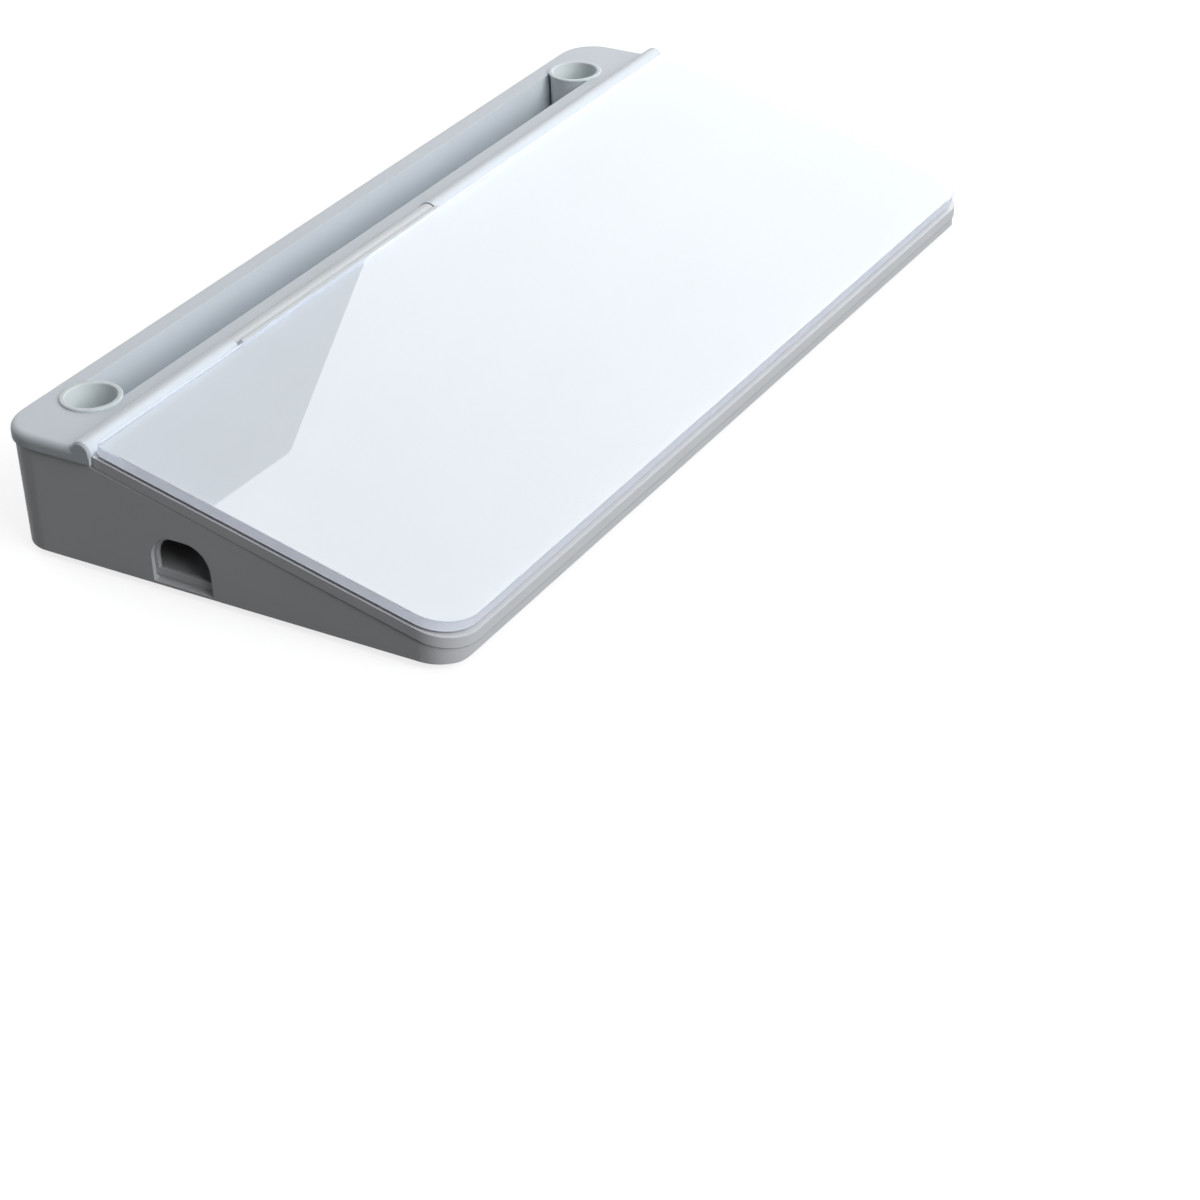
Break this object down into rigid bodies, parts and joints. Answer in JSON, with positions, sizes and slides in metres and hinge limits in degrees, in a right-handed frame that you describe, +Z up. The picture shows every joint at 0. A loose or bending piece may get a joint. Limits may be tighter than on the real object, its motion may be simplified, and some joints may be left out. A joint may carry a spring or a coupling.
{
  "type": "desktop glass whiteboard",
  "caption": "Wedge-shaped desk organiser with a sloped glass writing lid that swings up on an off-centre hinge over divided storage bays, with a pen trough and cups along the back.",
  "frame": {"origin": "on the desk under the middle of the board, at the underside of the feet", "axes": "+X to the right along the board, +Y to the back towards the pen trough, +Z up; the lid is closed"},
  "size_m": [0.38, 0.179, 0.0502],
  "materials": {
    "shell_plastic": "semi-gloss white",
    "tray_plastic": "semi-gloss white",
    "deck_plastic": "semi-gloss white",
    "cup_plastic": "semi-gloss white",
    "board_glass": "polished",
    "white_film": "matt white",
    "foam_tape": "foam",
    "plate_plastic": "semi-gloss white",
    "pin_steel": "ground",
    "clear_plastic": "clear",
    "bumper_rubber": "translucent silicone",
    "foot_rubber": "matt grey",
    "screw_steel": "zinc plated"
  },
  "bodies": {
    "base": {"lower_shell": "shell_plastic", "storage_tray": "tray_plastic", "rear_deck": "deck_plastic", "pen_cup_left": "cup_plastic", "pen_cup_right": "cup_plastic", "hinge_pin_left": "pin_steel", "hinge_pin_right": "pin_steel", "hinge_clip_left": "clear_plastic", "hinge_clip_right": "clear_plastic", "foot_front_left": "foot_rubber", "foot_front_right": "foot_rubber", "foot_rear_left": "foot_rubber", "foot_rear_right": "foot_rubber", "case_screws": "screw_steel"},
    "lid": {"glass_panel": "board_glass", "backing_film": "white_film", "plate_tape": "foam_tape", "hinge_plate": "plate_plastic", "lid_bumper_left": "bumper_rubber", "lid_bumper_right": "bumper_rubber"}
  },
  "joints": [
    {"name": "lid_hinge", "type": "hinge", "parent": "base", "child": "lid", "pos_m": [0, 0.0525, 0.046], "axis": [-1, 0, 0], "range_deg": [0, 122]}
  ]
}
